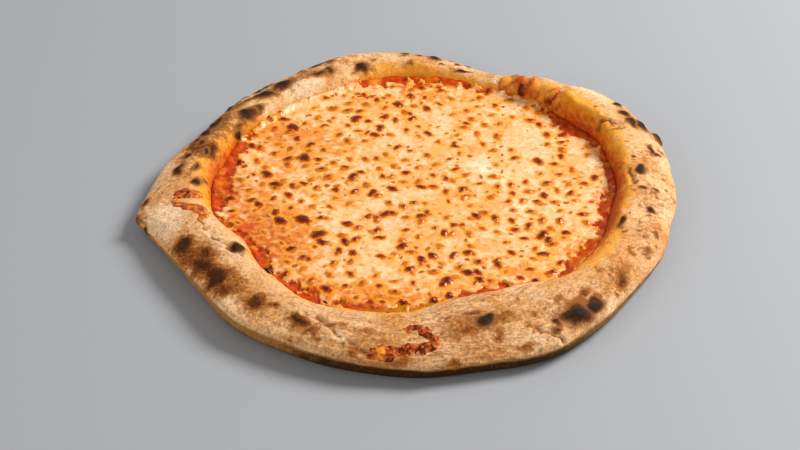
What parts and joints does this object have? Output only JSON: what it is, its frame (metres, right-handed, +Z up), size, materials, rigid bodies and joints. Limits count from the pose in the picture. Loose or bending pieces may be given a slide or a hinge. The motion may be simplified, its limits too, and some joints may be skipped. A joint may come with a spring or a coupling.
{
  "type": "margherita pizza",
  "caption": "Whole round flatbread with a puffed, unevenly charred rim, a thin tomato sauce layer and one melted, blistered cheese sheet on top.",
  "frame": {"origin": "middle of the flat underside, on the surface that the pizza lies on", "axes": "+Z up through the toppings; -Y towards the side with the broadest rim; +X to the right seen from there"},
  "size_m": [0.3199, 0.3151, 0.023],
  "materials": {
    "baked_dough": "matte, floury, with charred bubbles",
    "tomato_sauce": "wet and oily",
    "melted_cheese": "soft gloss with browned blisters",
    "browned_cheese": "glossy, crisp at the edges"
  },
  "bodies": {
    "root": {"crust": "baked_dough", "tomato_sauce": "tomato_sauce", "mozzarella": "melted_cheese", "rim_cheese_large": "browned_cheese", "rim_cheese_small": "browned_cheese", "rim_drip_upper": "browned_cheese", "rim_drip_lower": "browned_cheese", "burnt_cheese_streak": "browned_cheese"}
  },
  "joints": []
}
